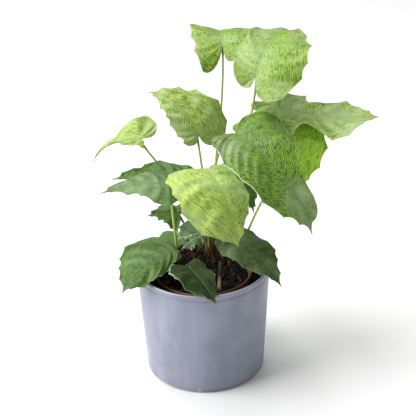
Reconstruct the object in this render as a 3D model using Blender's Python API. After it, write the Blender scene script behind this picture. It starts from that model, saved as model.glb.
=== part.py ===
"""Potted calathea: a glazed cachepot, a nursery pot of soil in it, and a clump of patterned leaves.

Metres, +Z up. The origin is the centre of the cachepot's underside; -Y is the front.
Each leaf is one solid, its blade and petiole grown together, and stands in a plain hole in the soil.
"""
import math

import bmesh
import bpy
import numpy as np
from mathutils import Vector

MM = 0.001

# Cachepot
POT_HEIGHT = 122 * MM
POT_TOP_RADIUS = 70 * MM
POT_FOOT_RADIUS = 62.5 * MM
POT_WALL = 4.5 * MM
POT_FLOOR = 6 * MM
POT_RIM_LIP = 3.2 * MM
POT_RIM_GROOVE = 0.8 * MM
POT_FOOT_ROUND = 4 * MM
POT_SIDES = 40

# Nursery pot, standing on the cachepot's floor
FIT_GAP = 0.3 * MM
INNER_TOP_RADIUS = 51 * MM
INNER_FOOT_RADIUS = 38 * MM
INNER_TOP_Z = 113 * MM
INNER_WALL = 1.1 * MM
INNER_LIP = 3 * MM
INNER_LIP_DROP = 7 * MM
DRAIN_RADIUS = 4 * MM
DRAIN_CIRCLE = 28 * MM
DRAIN_COUNT = 4
INNER_SIDES = 32

# Soil
SOIL_EDGE_Z = 107 * MM
SOIL_MOUND = 5 * MM
SOIL_LUMP = 1.4 * MM
SOIL_RINGS = 8
SOIL_SIDES = 28
CLUMP_CENTRE = (10 * MM, 27 * MM)
HOLE_DEPTH = 9 * MM
HOLE_CLEARANCE = 0.4 * MM

# Withered stem, left standing at the front of the soil
DRY_STEM_FOOT = (16 * MM, -31 * MM)
DRY_STEM_RADIUS = 1.9 * MM

# Leaf blades and petioles
BLADE_THICKNESS = 0.7 * MM
PETIOLE_SIDES = 5
PETIOLE_FOOT_RADIUS = 1.5 * MM
PETIOLE_TOP_RADIUS = 1.0 * MM
PULVINUS_RADIUS = 1.35 * MM
PULVINUS_LENGTH = 13 * MM
MIDRIB_RADIUS = 0.9 * MM
NOTCH_GAP = 1.4 * MM
MIDRIB_STEP = 1.5 * MM
FAN_SHARE = 0.3
FIRST_TOOTH = 0.2
LAST_TOOTH = 0.96


def clear_scene():
    for old in list(bpy.data.objects):
        bpy.data.objects.remove(old, do_unlink=True)


def make_material(name, colour, roughness, metallic=0.0):
    mat = bpy.data.materials.new(name)
    mat.use_nodes = True
    shader = mat.node_tree.nodes["Principled BSDF"]
    shader.inputs["Base Color"].default_value = (*colour, 1.0)
    shader.inputs["Roughness"].default_value = roughness
    shader.inputs["Metallic"].default_value = metallic
    return mat


def add_object(name, mesh, mat):
    obj = bpy.data.objects.new(name, mesh)
    bpy.context.scene.collection.objects.link(obj)
    obj.data.materials.append(mat)
    return obj


def combine(obj, other, operation, solver="EXACT"):
    """Joins another solid to this one, or cuts it away, and removes it from the scene."""
    mod = obj.modifiers.new(operation.lower(), "BOOLEAN")
    mod.operation = operation
    mod.solver = solver
    mod.object = other
    bpy.context.view_layer.update()
    graph = bpy.context.evaluated_depsgraph_get()
    joined = bpy.data.meshes.new_from_object(obj.evaluated_get(graph))
    obj.modifiers.clear()
    obj.data = joined
    bpy.data.objects.remove(other, do_unlink=True)


def turn_profile(name, profile, sides, mat):
    """Spins a closed profile of (radius, height) points about the pot's axis."""
    bm = bmesh.new()
    verts = [bm.verts.new((radius, 0.0, height)) for radius, height in profile]
    edges = [bm.edges.new((a, b)) for a, b in zip(verts, verts[1:])]
    bmesh.ops.spin(bm, geom=verts + edges, cent=(0, 0, 0), axis=(0, 0, 1),
                   angle=2 * math.pi, steps=sides, use_merge=True)
    bmesh.ops.remove_doubles(bm, verts=bm.verts, dist=1e-6)
    bmesh.ops.recalc_face_normals(bm, faces=bm.faces)
    mesh = bpy.data.meshes.new(name)
    bm.to_mesh(mesh)
    bm.free()
    mesh.shade_smooth()
    mesh.set_sharp_from_angle(angle=math.radians(35))
    return add_object(name, mesh, mat)


def arc_points(centre, radius, start, end, steps):
    angles = np.radians(np.linspace(start, end, steps + 1))
    return [(centre[0] + radius * math.cos(a), centre[1] + radius * math.sin(a)) for a in angles]


def pot_radius_at(height):
    return POT_FOOT_RADIUS + (POT_TOP_RADIUS - POT_FOOT_RADIUS) * height / POT_HEIGHT


def make_cachepot():
    glaze = make_material("grey_blue_glaze", (0.25, 0.27, 0.35), 0.42)
    lip = POT_RIM_LIP / 2
    groove_z = POT_HEIGHT - 6 * MM
    foot_line_z = 4 * MM
    foot = pot_radius_at(0)
    profile = [(0, 0)]
    profile += arc_points((foot - POT_FOOT_ROUND, POT_FOOT_ROUND), POT_FOOT_ROUND, -90, -20, 4)
    profile += [(pot_radius_at(foot_line_z) - 0.3 * MM, foot_line_z),
                (pot_radius_at(foot_line_z + 1.5 * MM), foot_line_z + 1.5 * MM),
                (pot_radius_at(POT_HEIGHT / 2), POT_HEIGHT / 2),
                (pot_radius_at(groove_z) - 0.2 * MM, groove_z - 1.6 * MM),
                (pot_radius_at(groove_z) - POT_RIM_GROOVE, groove_z),
                (pot_radius_at(groove_z), groove_z + 1.6 * MM)]
    profile += arc_points((POT_TOP_RADIUS - lip, POT_HEIGHT - lip), lip, 10, 170, 6)
    profile += [(pot_radius_at(POT_HEIGHT - 9 * MM) - POT_WALL, POT_HEIGHT - 9 * MM),
                (foot - POT_WALL + 0.6 * MM, POT_FLOOR + 5 * MM),
                (foot - POT_WALL - 4 * MM, POT_FLOOR),
                (0, POT_FLOOR)]
    return turn_profile("cachepot", profile, POT_SIDES, glaze)


def make_nursery_pot():
    plastic = make_material("terracotta_plastic", (0.23, 0.09, 0.07), 0.5)
    bottom = POT_FLOOR + FIT_GAP
    floor = bottom + 1.5 * MM
    lip_z = INNER_TOP_Z - INNER_LIP_DROP
    profile = [(0, bottom),
               (INNER_FOOT_RADIUS, bottom),
               (INNER_TOP_RADIUS - INNER_LIP, lip_z),
               (INNER_TOP_RADIUS - 0.8 * MM, lip_z + 0.4 * MM),
               (INNER_TOP_RADIUS, INNER_TOP_Z - 0.8 * MM),
               (INNER_TOP_RADIUS - 0.6 * MM, INNER_TOP_Z),
               (INNER_TOP_RADIUS - 1.6 * MM, INNER_TOP_Z - 0.2 * MM),
               (INNER_TOP_RADIUS - INNER_LIP - INNER_WALL, lip_z + 0.4 * MM),
               (INNER_FOOT_RADIUS - INNER_WALL, floor),
               (0, floor)]
    pot = turn_profile("nursery_pot", profile, INNER_SIDES, plastic)
    for step in range(DRAIN_COUNT):
        turn = 2 * math.pi * (step + 0.5) / DRAIN_COUNT
        place = (DRAIN_CIRCLE * math.cos(turn), DRAIN_CIRCLE * math.sin(turn), bottom)
        bpy.ops.mesh.primitive_cylinder_add(vertices=10, radius=DRAIN_RADIUS, depth=6 * MM, location=place)
        combine(pot, bpy.context.object, "DIFFERENCE")
    return pot


def soil_height(x, y):
    """The soil's top: a low mound at the clump, with gentle lumps that repeat each run."""
    away = math.hypot(x - CLUMP_CENTRE[0], y - CLUMP_CENTRE[1])
    mound = SOIL_MOUND * math.exp(-(away / (26 * MM)) ** 2)
    lumps = math.sin(310 * x + 1.3) * math.cos(270 * y - 0.6) + 0.6 * math.sin(520 * (x + y) + 2.1)
    return SOIL_EDGE_Z + mound + SOIL_LUMP * lumps / 1.6


def hole_floor(x, y):
    return soil_height(x, y) - HOLE_DEPTH


def soil_wall_radius(height):
    """The inside of the nursery pot's wall, less the gap, at a height above the table."""
    floor = POT_FLOOR + FIT_GAP + 1.5 * MM
    lip_z = INNER_TOP_Z - INNER_LIP_DROP + 0.4 * MM
    low = INNER_FOOT_RADIUS - INNER_WALL
    high = INNER_TOP_RADIUS - INNER_LIP - INNER_WALL
    return low + (high - low) * (height - floor) / (lip_z - floor) - FIT_GAP


def make_soil(stem_feet):
    """The root ball: its top is rings of points on the lumpy surface, with a plain hole for each stem."""
    peat = make_material("peat", (0.022, 0.016, 0.012), 0.95)
    bottom = POT_FLOOR + 2 * FIT_GAP + 1.5 * MM
    edge = soil_wall_radius(SOIL_EDGE_Z - SOIL_LUMP)
    foot_radius = soil_wall_radius(bottom)
    turns = [2 * math.pi * side / SOIL_SIDES for side in range(SOIL_SIDES)]
    bm = bmesh.new()
    loops = [[bm.verts.new((foot_radius * math.cos(a), foot_radius * math.sin(a), bottom)) for a in turns]]
    for ring in range(SOIL_RINGS):
        radius = edge * (1 - ring / SOIL_RINGS)
        drop = SOIL_LUMP if ring == 0 else 0.0
        loop = []
        for a in turns:
            x = radius * math.cos(a)
            y = radius * math.sin(a)
            loop.append(bm.verts.new((x, y, soil_height(x, y) - drop)))
        loops.append(loop)
    for low, high in zip(loops, loops[1:]):
        for side in range(SOIL_SIDES):
            after = (side + 1) % SOIL_SIDES
            bm.faces.new((low[side], low[after], high[after], high[side]))
    centre = bm.verts.new((0, 0, soil_height(0, 0)))
    base = bm.verts.new((0, 0, bottom))
    for side in range(SOIL_SIDES):
        after = (side + 1) % SOIL_SIDES
        bm.faces.new((loops[-1][side], loops[-1][after], centre))
        bm.faces.new((loops[0][after], loops[0][side], base))
    bmesh.ops.triangulate(bm, faces=bm.faces)
    mesh = bpy.data.meshes.new("soil")
    bm.to_mesh(mesh)
    bm.free()
    soil = add_object("soil", mesh, peat)
    for x, y, radius in stem_feet:
        top = soil_height(x, y) + 8 * MM
        low = hole_floor(x, y)
        bpy.ops.mesh.primitive_cylinder_add(vertices=6, radius=radius + HOLE_CLEARANCE,
                                            depth=top - low, location=(x, y, (top + low) / 2))
        combine(soil, bpy.context.object, "DIFFERENCE")
    return soil


def bezier(p0, p1, p2, p3, steps):
    f = np.linspace(0.0, 1.0, steps + 1)[:, None]
    p0, p1, p2, p3 = (np.asarray(p, float) for p in (p0, p1, p2, p3))
    return (1 - f) ** 3 * p0 + 3 * f * (1 - f) ** 2 * p1 + 3 * f ** 2 * (1 - f) * p2 + f ** 3 * p3


def tube(path, radius, sides):
    """A closed tube along a path, its rings carried along without twisting."""
    bm = bmesh.new()
    ring_side = Vector(path[1] - path[0]).normalized().orthogonal().normalized()
    rings = []
    for k, (place, size) in enumerate(zip(path, radius)):
        before = Vector(path[max(k - 1, 0)])
        after = Vector(path[min(k + 1, len(path) - 1)])
        direction = (after - before).normalized()
        ring_side = (ring_side - direction * ring_side.dot(direction)).normalized()
        ring_up = direction.cross(ring_side)
        ring = []
        for n in range(sides):
            turn = 2 * math.pi * n / sides
            offset = ring_side * math.cos(turn) + ring_up * math.sin(turn)
            ring.append(bm.verts.new(Vector(place) + offset * float(size)))
        rings.append(ring)
    for low, high in zip(rings, rings[1:]):
        for n in range(sides):
            after = (n + 1) % sides
            bm.faces.new((low[n], low[after], high[after], high[n]))
    bm.faces.new(rings[0][::-1])
    bm.faces.new(rings[-1])
    bmesh.ops.triangulate(bm, faces=bm.faces)
    mesh = bpy.data.meshes.new("tube")
    bm.to_mesh(mesh)
    bm.free()
    return mesh


def make_dry_stem():
    """An old petiole, cut short and leaning back from the front of the soil."""
    straw = make_material("dry_stem", (0.30, 0.19, 0.09), 0.8)
    x, y = DRY_STEM_FOOT
    foot = np.array([x, y, hole_floor(x, y) + FIT_GAP])
    rise = foot + np.array([0, 0, HOLE_DEPTH + 2 * MM])
    path = np.vstack([foot, bezier(rise, rise + np.array([0, 1, 10]) * MM, rise + np.array([1, 6, 17]) * MM,
                                   rise + np.array([2, 14, 22]) * MM, 5)])
    radius = np.linspace(DRY_STEM_RADIUS, DRY_STEM_RADIUS * 0.7, len(path))
    return add_object("dry_stem", tube(path, radius, 6), straw)


def half(width, fold=8, curl=-25, lobe=1.0, broadest=0.2, fullness=0.5, square=0.0, teeth=6, bays=None):
    """One half of a blade: its width, the rise at the midrib and the curl to the margin in degrees,

    its lobe's length as a share of the leaf's, where along the leaf it is broadest, how full it stays
    towards the tip, how square its lobe is, and its teeth: a count, or places along the margin from 0
    at the notch to 1 at the tip, with the depths of the bays between them.
    """
    return dict(width=width * MM, fold=math.radians(fold), curl=math.radians(curl), lobe=lobe,
                broadest=broadest, fullness=fullness, square=square, teeth=teeth, bays=bays)


def leaf(name, base, heading, pitch, arch, length, lobe, left, right, foot, **more):
    """One leaf: where its blade starts, how its midrib runs in degrees, and its two halves.

    Heading is 0 to the right, 90 to the back and -90 to the front. Left and right are the leaf's own,
    looking from base to tip with the upper side up.
    """
    plan = dict(name=name, base=np.array(base) * MM, heading=heading, pitch=pitch, arch=arch,
                length=length * MM, lobe=lobe * MM, halves=(left, right),
                foot=(foot[0] * MM, foot[1] * MM), bend=0, roll=0, twist=0, arch_power=1.0, lobe_droop=30,
                scallop=2.6, wave=2.0, waves=3.0, phase=0.0, join=0.5, lean=(0.0, 0.0),
                columns=3, seed=sum(map(ord, name)), tone="mature")
    plan.update(more)
    return plan


def half_outline(plan, side):
    """The flat margin of one half, from the notch at the base round the lobe to the tip."""
    length = plan["length"]
    width = side["width"]
    lobe = plan["lobe"] * side["lobe"]
    broad = side["broadest"] * length
    full = side["fullness"]
    square = side["square"]
    notch = (-1.2 * MM, NOTCH_GAP)
    back = (-lobe, (0.42 - 0.2 * square) * width)
    flank = (broad, width)
    round_lobe = bezier(notch, (-(0.6 + 0.3 * square) * lobe, 0.04 * width),
                        (-lobe, (0.16 - 0.1 * square) * width), back, 20)
    round_side = bezier(back, (-lobe, 0.8 * width), (0.45 * broad - (0.55 + 0.3 * square) * lobe, width),
                        flank, 24)
    run = length - broad
    to_tip = bezier(flank, (broad + full * run, width), (length - 0.26 * run, 0.55 * full * width),
                    (length, 0.0), 36)
    return np.vstack([round_lobe, round_side[1:], to_tip[1:]])


def tooth_places(plan, side):
    """Where along the margin the teeth of one half stand, and how deep each bay between them is."""
    rng = np.random.default_rng(plan["seed"] + round(side["width"] / MM * 10))
    if isinstance(side["teeth"], int):
        count = side["teeth"]
        spacing = (LAST_TOOTH - FIRST_TOOTH) / count
        places = FIRST_TOOTH + spacing * (np.arange(count) + 0.5 + rng.uniform(-0.2, 0.2, count))
    else:
        places = np.array(side["teeth"])
    bays = rng.uniform(0.6, 1.25, len(places) + 1)
    return places, bays if side["bays"] is None else np.array(side["bays"])


def margin_rows(plan, side, fine=1):
    """Places along the margin of the rows that run out from the midrib like lateral veins."""
    teeth, _ = tooth_places(plan, side)
    lobe_marks = [0.0, 0.05, 0.11, 0.16]
    marks = [*lobe_marks, *teeth, 1.0]
    rows = []
    for a, b in zip(marks, marks[1:]):
        steps = fine if a < lobe_marks[-1] else 2 * fine
        rows += list(np.linspace(a, b, steps + 1)[:-1])
    return np.array(rows + [1.0])


def bay_depth(plan, side, t):
    """How far the margin is cut in between the teeth, at places t along it."""
    teeth, strength = tooth_places(plan, side)
    marks = np.array([0.09, *teeth, 1.0])
    depth = np.zeros_like(t)
    for k in range(len(marks) - 1):
        inside = (t > marks[k]) & (t < marks[k + 1])
        share = (t[inside] - marks[k]) / (marks[k + 1] - marks[k])
        fade = 0.4 if k == 0 else min(1.0, (marks[k + 1] - marks[k]) / 0.1)
        depth[inside] = fade * strength[k] * np.sin(np.pi * share) ** 0.8
    return plan["scallop"] * MM * depth


def flat_half(plan, side, fine=1, columns=3):
    """Grid of one flat half: rows along the margin, columns from the midrib (0) to the margin (1)."""
    outline = half_outline(plan, side)
    run = np.concatenate([[0], np.cumsum(np.linalg.norm(np.diff(outline, axis=0), axis=1))])
    run /= run[-1]
    t = margin_rows(plan, side, fine)
    margin = np.stack([np.interp(t, run, outline[:, k]) for k in range(2)], -1)
    root_x = plan["length"] * np.clip((t - FAN_SHARE) / (1 - FAN_SHARE), 0, 1) ** 1.15
    root = np.stack([root_x, np.zeros_like(root_x)], -1)
    reach = margin - root
    size = np.maximum(np.linalg.norm(reach, axis=1), 1e-9)
    cut = np.minimum(bay_depth(plan, side, t), 0.45 * size)
    reach = reach * (1 - cut / size)[:, None]
    s = np.linspace(0, 1, columns + 1)
    bulge = np.stack([-reach[:, 1], reach[:, 0]], -1) * (0.1 * np.minimum(1, t / FAN_SHARE))[:, None]
    path = root[:, None] + s[None, :, None] * reach[:, None]
    path = path + (4 * s * (1 - s))[None, :, None] * bulge[:, None]
    return t, s, path


def midrib_frames(plan):
    """Points and axes along the midrib, from behind the lobes to the tip."""
    length = plan["length"]
    lobe = plan["lobe"] * max(side["lobe"] for side in plan["halves"])
    x = np.linspace(-1.15 * lobe, length, 90)
    share = np.clip(x / length, 0, 1)
    behind = np.clip(-x / lobe, 0, None)
    arch = plan["arch"] * share ** plan["arch_power"]
    pitch = np.radians(plan["pitch"] - arch + plan["lobe_droop"] * behind)
    heading = np.radians(plan["heading"] + plan["bend"] * share)
    roll = np.radians(plan["roll"] + plan["twist"] * share)
    tangent = np.stack([np.cos(pitch) * np.cos(heading), np.cos(pitch) * np.sin(heading), np.sin(pitch)], -1)
    level = np.stack([-np.sin(heading), np.cos(heading), np.zeros_like(heading)], -1)
    normal = np.cross(tangent, level)
    across = np.cos(roll)[:, None] * level + np.sin(roll)[:, None] * normal
    up = np.cos(roll)[:, None] * normal - np.sin(roll)[:, None] * level
    step = np.diff(x)[:, None] * (tangent[1:] + tangent[:-1]) / 2
    point = np.vstack([np.zeros(3), np.cumsum(step, axis=0)])
    start = np.array([np.interp(0.0, x, point[:, k]) for k in range(3)])
    return dict(x=x, point=point - start + plan["base"], tangent=tangent, across=across, up=up)


def at_station(frames, x, what):
    return np.stack([np.interp(x, frames["x"], frames[what][:, k]) for k in range(3)], -1)


def bend_half(plan, side, sign, frames, t, s, path):
    """Carries one flat half into space: folded at the midrib, curling outwards, waved at the margin."""
    x = path[..., 0]
    across = path[..., 1]
    fold = side["fold"]
    bend = side["curl"] / side["width"]
    out = (np.sin(fold + bend * across) - math.sin(fold)) / bend
    rise = (math.cos(fold) - np.cos(fold + bend * across)) / bend
    swell = np.sin(2 * np.pi * (plan["waves"] * t + plan["phase"]) + 2.4 * sign)
    away = np.clip(2.5 * across / side["width"], 0, 1)
    rise = rise + plan["wave"] * MM * swell[:, None] * (s ** 1.6)[None, :] * away
    point = at_station(frames, x, "point")
    across_axis = at_station(frames, x, "across")
    up_axis = at_station(frames, x, "up")
    return point + sign * out[..., None] * across_axis + rise[..., None] * up_axis


def shared_midrib(plan, grids, step):
    """Moves both halves' rows to common points along the midrib, and returns those points."""
    length = plan["length"]
    spine = [0.0]
    for x in sorted(np.concatenate([path[:, 0, 0] for _, _, path in grids])):
        if x - spine[-1] > step and length - x > step:
            spine.append(x)
    spine = np.array([*spine, length])
    for _, _, path in grids:
        nearest = np.abs(path[:, 0, 0][:, None] - spine[None, :]).argmin(axis=1)
        path[:, 0, 0] = spine[nearest]
    return spine


def blade_surface(plan, fine=1, columns=3):
    """Vertices and triangles of the blade's middle surface, upper side facing out."""
    frames = midrib_frames(plan)
    grids = [flat_half(plan, side, fine, columns) for side in plan["halves"]]
    spine = shared_midrib(plan, grids, MIDRIB_STEP / fine)
    verts = []
    faces = []
    known = {}

    def vertex(flat, spot):
        key = (round(float(flat[0]) * 1e6), round(float(flat[1]) * 1e6))
        if key not in known:
            known[key] = len(verts)
            verts.append(spot)
        return known[key]

    for (t, s, path), side, sign in zip(grids, plan["halves"], (1.0, -1.0)):
        spots = bend_half(plan, side, sign, frames, t, s, path)
        index = [[vertex((path[i, j, 0], sign * path[i, j, 1]), spots[i, j])
                  for j in range(len(s))] for i in range(len(t))]
        for i in range(len(t) - 1):
            between = [x for x in spine if path[i, 0, 0] < x < path[i + 1, 0, 0]]
            chain = [index[i][0]]
            chain += [vertex((x, 0.0), at_station(frames, x, "point")) for x in between]
            chain.append(index[i + 1][0])
            tris = [(index[i][1], a, b) for a, b in zip(chain, chain[1:])]
            tris.append((index[i][1], index[i + 1][0], index[i + 1][1]))
            for j in range(1, len(s) - 1):
                a, b, c, d = index[i][j], index[i + 1][j], index[i + 1][j + 1], index[i][j + 1]
                tris += [(a, b, c), (a, c, d)]
            faces += [tri if sign > 0 else tri[::-1] for tri in tris if len(set(tri)) == 3]
    return np.array(verts), faces


def thicken(verts, faces, thickness):
    """A closed sheet: both faces carry the same triangles, and a band closes the margin."""
    normals = np.zeros_like(verts)
    for a, b, c in faces:
        normals[[a, b, c]] += np.cross(verts[b] - verts[a], verts[c] - verts[a])
    normals /= np.linalg.norm(normals, axis=1)[:, None]
    count = len(verts)
    both = np.vstack([verts + normals * thickness / 2, verts - normals * thickness / 2])
    shell = list(faces) + [(c + count, b + count, a + count) for a, b, c in faces]
    edges = {pair for a, b, c in faces for pair in ((a, b), (b, c), (c, a))}
    for a, b in sorted(edges):
        if (b, a) not in edges:
            shell.append((b, a, a + count))
            shell.append((b, a + count, b + count))
    return both, shell


def petiole_path(plan):
    """The petiole's centre line from its foot in the soil, through the pulvinus, to under the midrib."""
    frames = midrib_frames(plan)
    x, y = plan["foot"]
    foot = np.array([x, y, hole_floor(x, y) + FIT_GAP])
    rise = np.array([x, y, soil_height(x, y) + 3 * MM])
    tangent = at_station(frames, 0.0, "tangent")
    neck = plan["base"] - at_station(frames, 0.0, "up") * 1.5 * MM - tangent * 1.0 * MM
    reach = np.linalg.norm(neck - rise)
    lean = np.array([*plan["lean"], 1.0])
    come_in = np.array([0, 0, 1.0]) + plan["join"] * tangent
    come_in /= np.linalg.norm(come_in)
    steps = 8 if reach > 60 * MM else 5
    stem = bezier(rise, rise + lean * reach * 0.35, neck - come_in * reach * 0.35, neck, steps)
    under = np.array([0.05, 0.14, 0.26, 0.4])
    rib = [at_station(frames, plan["length"] * k, "point")
           - at_station(frames, plan["length"] * k, "up") * 0.95 * MM for k in under]
    path = np.vstack([foot, stem, rib])
    run = np.concatenate([[0], np.cumsum(np.linalg.norm(np.diff(stem, axis=0), axis=1))])
    slim = PETIOLE_FOOT_RADIUS + (PETIOLE_TOP_RADIUS - PETIOLE_FOOT_RADIUS) * run / run[-1]
    swell = np.clip(1 - (run[-1] - run) / PULVINUS_LENGTH, 0, 1) ** 0.5
    stem_radius = slim + (PULVINUS_RADIUS - PETIOLE_TOP_RADIUS) * swell
    rib_radius = MIDRIB_RADIUS * (1 - 0.4 * under / under[-1])
    return path, np.concatenate([[PETIOLE_FOOT_RADIUS], stem_radius, rib_radius])


def make_leaf(plan, mat):
    verts, faces = thicken(*blade_surface(plan, 1, plan["columns"]), BLADE_THICKNESS)
    mesh = bpy.data.meshes.new(plan["name"])
    mesh.from_pydata([tuple(v) for v in verts], [], faces)
    mesh.update()
    blade = add_object(plan["name"], mesh, mat)
    stalk = add_object("stalk", tube(*petiole_path(plan), PETIOLE_SIDES), mat)
    combine(blade, stalk, "UNION", "MANIFOLD")
    return blade


def tall_leaves():
    return [
        leaf("leaf_top_left", (26, 73, 336), 92, 18, 82, 96, 30,
             half(33, fold=24, curl=-12, lobe=1.1, square=-0.5, teeth=(0.24, 0.36, 0.48, 0.6, 0.72, 0.86)),
             half(36, fold=4, lobe=0.8, square=0.8),
             (8, 39), roll=-12, twist=14, lobe_droop=62, scallop=3.5, tone="fresh"),
        leaf("leaf_top_right", (58, 22, 320), 62, 50, 84, 104, 26,
             half(31, fold=15, curl=-12, lobe=0.6, broadest=0.3, fullness=0.7, square=0.4,
                  teeth=(0.48, 0.7, 0.86), bays=(2.2, 1.2, 0.7, 0.4)),
             half(49, fold=10, curl=-35, lobe=0.95, broadest=0.25, fullness=0.38, square=0.3),
             (20, 35), roll=-4, lobe_droop=25, lean=(0.0, 0.4), join=0.3, scallop=4.5, wave=3,
             columns=4, tone="fresh"),
        leaf("leaf_mid_left", (-2, 0, 268), 150, 66, 68, 70, 22,
             half(21, lobe=0.5), half(41, lobe=0.7, broadest=0.1, fullness=0.38), (7, 30), roll=-28,
             scallop=4, columns=4, tone="fresh"),
        leaf("leaf_far_left", (-62, 42, 246), 188, 2, 95, 60, 17,
             half(17, fold=18, lobe=0.3, broadest=-0.05, fullness=0.05),
             half(38, curl=-10, broadest=-0.15, fullness=0.0), (-3, 41), roll=-20, twist=50, arch_power=2.2,
             lean=(0.3, 0.2), tone="fresh"),
        leaf("leaf_centre_right", (36, -30, 280), -42, -11, 60, 128, 34,
             half(57, fold=14, lobe=0.45, broadest=0.0, fullness=0.27,
                  teeth=(0.23, 0.38, 0.52, 0.79, 0.94), bays=(0.5, 0.8, 0.8, 2.4, -1.8, 0.5)),
             half(51, lobe=0.2, curl=-12, broadest=0.35, fullness=0.6, square=-0.3), (15, 27), join=1.0,
             lean=(0.1, 0.35), scallop=4, columns=4),
        leaf("leaf_right_long", (82, 42, 277), -3, -24, -28, 104, 28,
             half(31, fold=26, curl=-10, lobe=0.6, broadest=0.5, teeth=(0.46, 0.74, 0.84, 0.92),
                  bays=(6, 8, 0.8, 1, 0.8)),
             half(50, curl=-34, fullness=0.7, teeth=(0.25, 0.46, 0.66, 0.76, 0.86, 0.94),
                  bays=(0.5, 0.6, 9, 1, 1, 1, 0.8)),
             (34, 26), arch_power=0.6, lobe_droop=60, lean=(0.3, 0.0), columns=4),
        leaf("leaf_right_hanging", (93, 16, 259), -88, -30, 50, 64, 22,
             half(36, square=0.8, teeth=(0.27, 0.42, 0.58, 0.74, 0.86)), half(30), (38, 18),
             lean=(0.15, 0.0), scallop=3.5, tone="fresh"),
        leaf("leaf_behind_right", (70, 66, 268), 20, 10, 40, 44, 12,
             half(24), half(22, lobe=0.6), (27, 31)),
    ]


def middle_leaves():
    return [
        leaf("leaf_front_pale", (8, -25, 238), -64, -8, 68, 87, 24,
             half(29, fullness=0.6, lobe=0.8, square=1),
             half(50, lobe=1.1, broadest=0.3, fullness=0.8, square=0.6), (12, 19), roll=-4,
             lobe_droop=65, columns=4, tone="pale"),
        leaf("leaf_west_front", (-33, -13, 221), 182, 5, 24, 69, 14,
             half(36, broadest=-0.05, fullness=0.25), half(22), (-24, 14), roll=-8, lobe_droop=50, join=0.1,
             lean=(-0.1, -0.6)),
        leaf("leaf_west_back", (-20, 14, 215), 178, 9, 22, 72, 14,
             half(13, lobe=0.5), half(22), (-9, 27), roll=-20, columns=2),
        leaf("leaf_under_left", (-24, 22, 168), 184, 12, 24, 34, 8,
             half(22, lobe=0.5, broadest=0.0, fullness=0.25), half(15, lobe=0.5, teeth=4), (-9, 34),
             roll=-30, columns=2),
        leaf("leaf_behind_centre", (36, 17, 224), -66, -20, 42, 56, 14,
             half(17, lobe=0.3), half(20, lobe=0.5), (21, 18)),
    ]


def low_leaves():
    return [
        leaf("leaf_low_left", (-29, -5, 141), 222, 2, 38, 77, 10,
             half(19, fold=-5, lobe=0.2, broadest=0.55), half(50, lobe=0.4, broadest=0.1, fullness=0.65),
             (-16, 6), columns=4),
        leaf("leaf_low_back", (-24, 28, 136), 185, -2, 25, 42, 10,
             half(18, teeth=5), half(22, teeth=5), (-17, 21), columns=2),
        leaf("leaf_low_front", (-13, -37, 136), -58, -5, 34, 52, 14,
             half(17, fold=12, curl=-12, fullness=0.6, square=1),
             half(26, fold=12, curl=-12, fullness=0.6, square=1), (-3, 12), columns=4),
        leaf("leaf_low_right", (34, 2, 149), -52, 0, 42, 79, 20,
             half(26), half(30, lobe=0.5), (28, 13), columns=4),
        leaf("leaf_low_rear", (14, 56, 132), 98, 8, 52, 72, 10,
             half(30), half(28), (14, 40), columns=2),
        leaf("leaf_small_grey", (-1, -14, 164), 192, 2, 20, 25, 5,
             half(6, teeth=3), half(17, fold=35, curl=-10, broadest=0.6, fullness=0.7, teeth=4),
             (1, 5), columns=2, tone="young"),
        leaf("leaf_young_folded", (0, 5, 153), 206, -15, 20, 27, 4,
             half(10, fold=-25, curl=-25, broadest=0.5, fullness=0.6),
             half(6, fold=35, teeth=4), (-8, 17), scallop=4, columns=2, tone="young"),
    ]


def build():
    clear_scene()
    make_cachepot()
    make_nursery_pot()
    make_dry_stem()
    plans = tall_leaves() + middle_leaves() + low_leaves()
    make_soil([(*plan["foot"], PETIOLE_FOOT_RADIUS) for plan in plans] + [(*DRY_STEM_FOOT, DRY_STEM_RADIUS)])
    tones = {"fresh": (0.23, 0.40, 0.06), "mature": (0.10, 0.22, 0.04),
             "pale": (0.36, 0.50, 0.16), "young": (0.20, 0.32, 0.14)}
    greens = {tone: make_material(tone + "_leaf", colour, 0.42) for tone, colour in tones.items()}
    for plan in plans:
        make_leaf(plan, greens[plan["tone"]])


build()
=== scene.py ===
import math
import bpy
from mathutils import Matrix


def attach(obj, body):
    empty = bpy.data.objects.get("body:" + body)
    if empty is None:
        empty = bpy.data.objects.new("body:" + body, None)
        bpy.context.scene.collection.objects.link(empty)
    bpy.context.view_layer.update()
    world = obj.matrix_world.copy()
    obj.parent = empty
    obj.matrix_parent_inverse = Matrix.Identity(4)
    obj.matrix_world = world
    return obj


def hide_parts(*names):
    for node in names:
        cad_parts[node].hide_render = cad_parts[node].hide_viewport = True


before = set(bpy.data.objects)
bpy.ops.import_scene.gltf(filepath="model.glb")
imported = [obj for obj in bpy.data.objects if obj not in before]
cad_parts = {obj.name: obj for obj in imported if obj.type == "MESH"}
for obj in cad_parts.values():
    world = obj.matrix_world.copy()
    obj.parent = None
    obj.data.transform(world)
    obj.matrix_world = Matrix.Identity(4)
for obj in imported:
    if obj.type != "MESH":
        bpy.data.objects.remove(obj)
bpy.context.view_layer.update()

from types import SimpleNamespace

import bmesh
import bpy
import numpy as np
from mathutils import Euler, Matrix, Vector

MM = 0.001

# The camera: a long lens a little over a metre in front of the plant and above it, looking down at
# about 27 degrees and tipped slightly to one side.
bpy.ops.object.select_all(action="DESELECT")
bpy.ops.object.camera_add(location=(0, -1.093, 0.741))
camera = bpy.context.object
camera.data.sensor_width = 36
camera.data.lens = 103.85
look = Matrix.Rotation(math.radians(-0.35), 4, "Z")
look = look @ Matrix.Rotation(math.radians(90 - 26.94), 4, "X")
look = look @ Matrix.Rotation(math.radians(-1.54), 4, "Z")
camera.rotation_euler = look.to_euler()
bpy.context.scene.camera = camera


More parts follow.
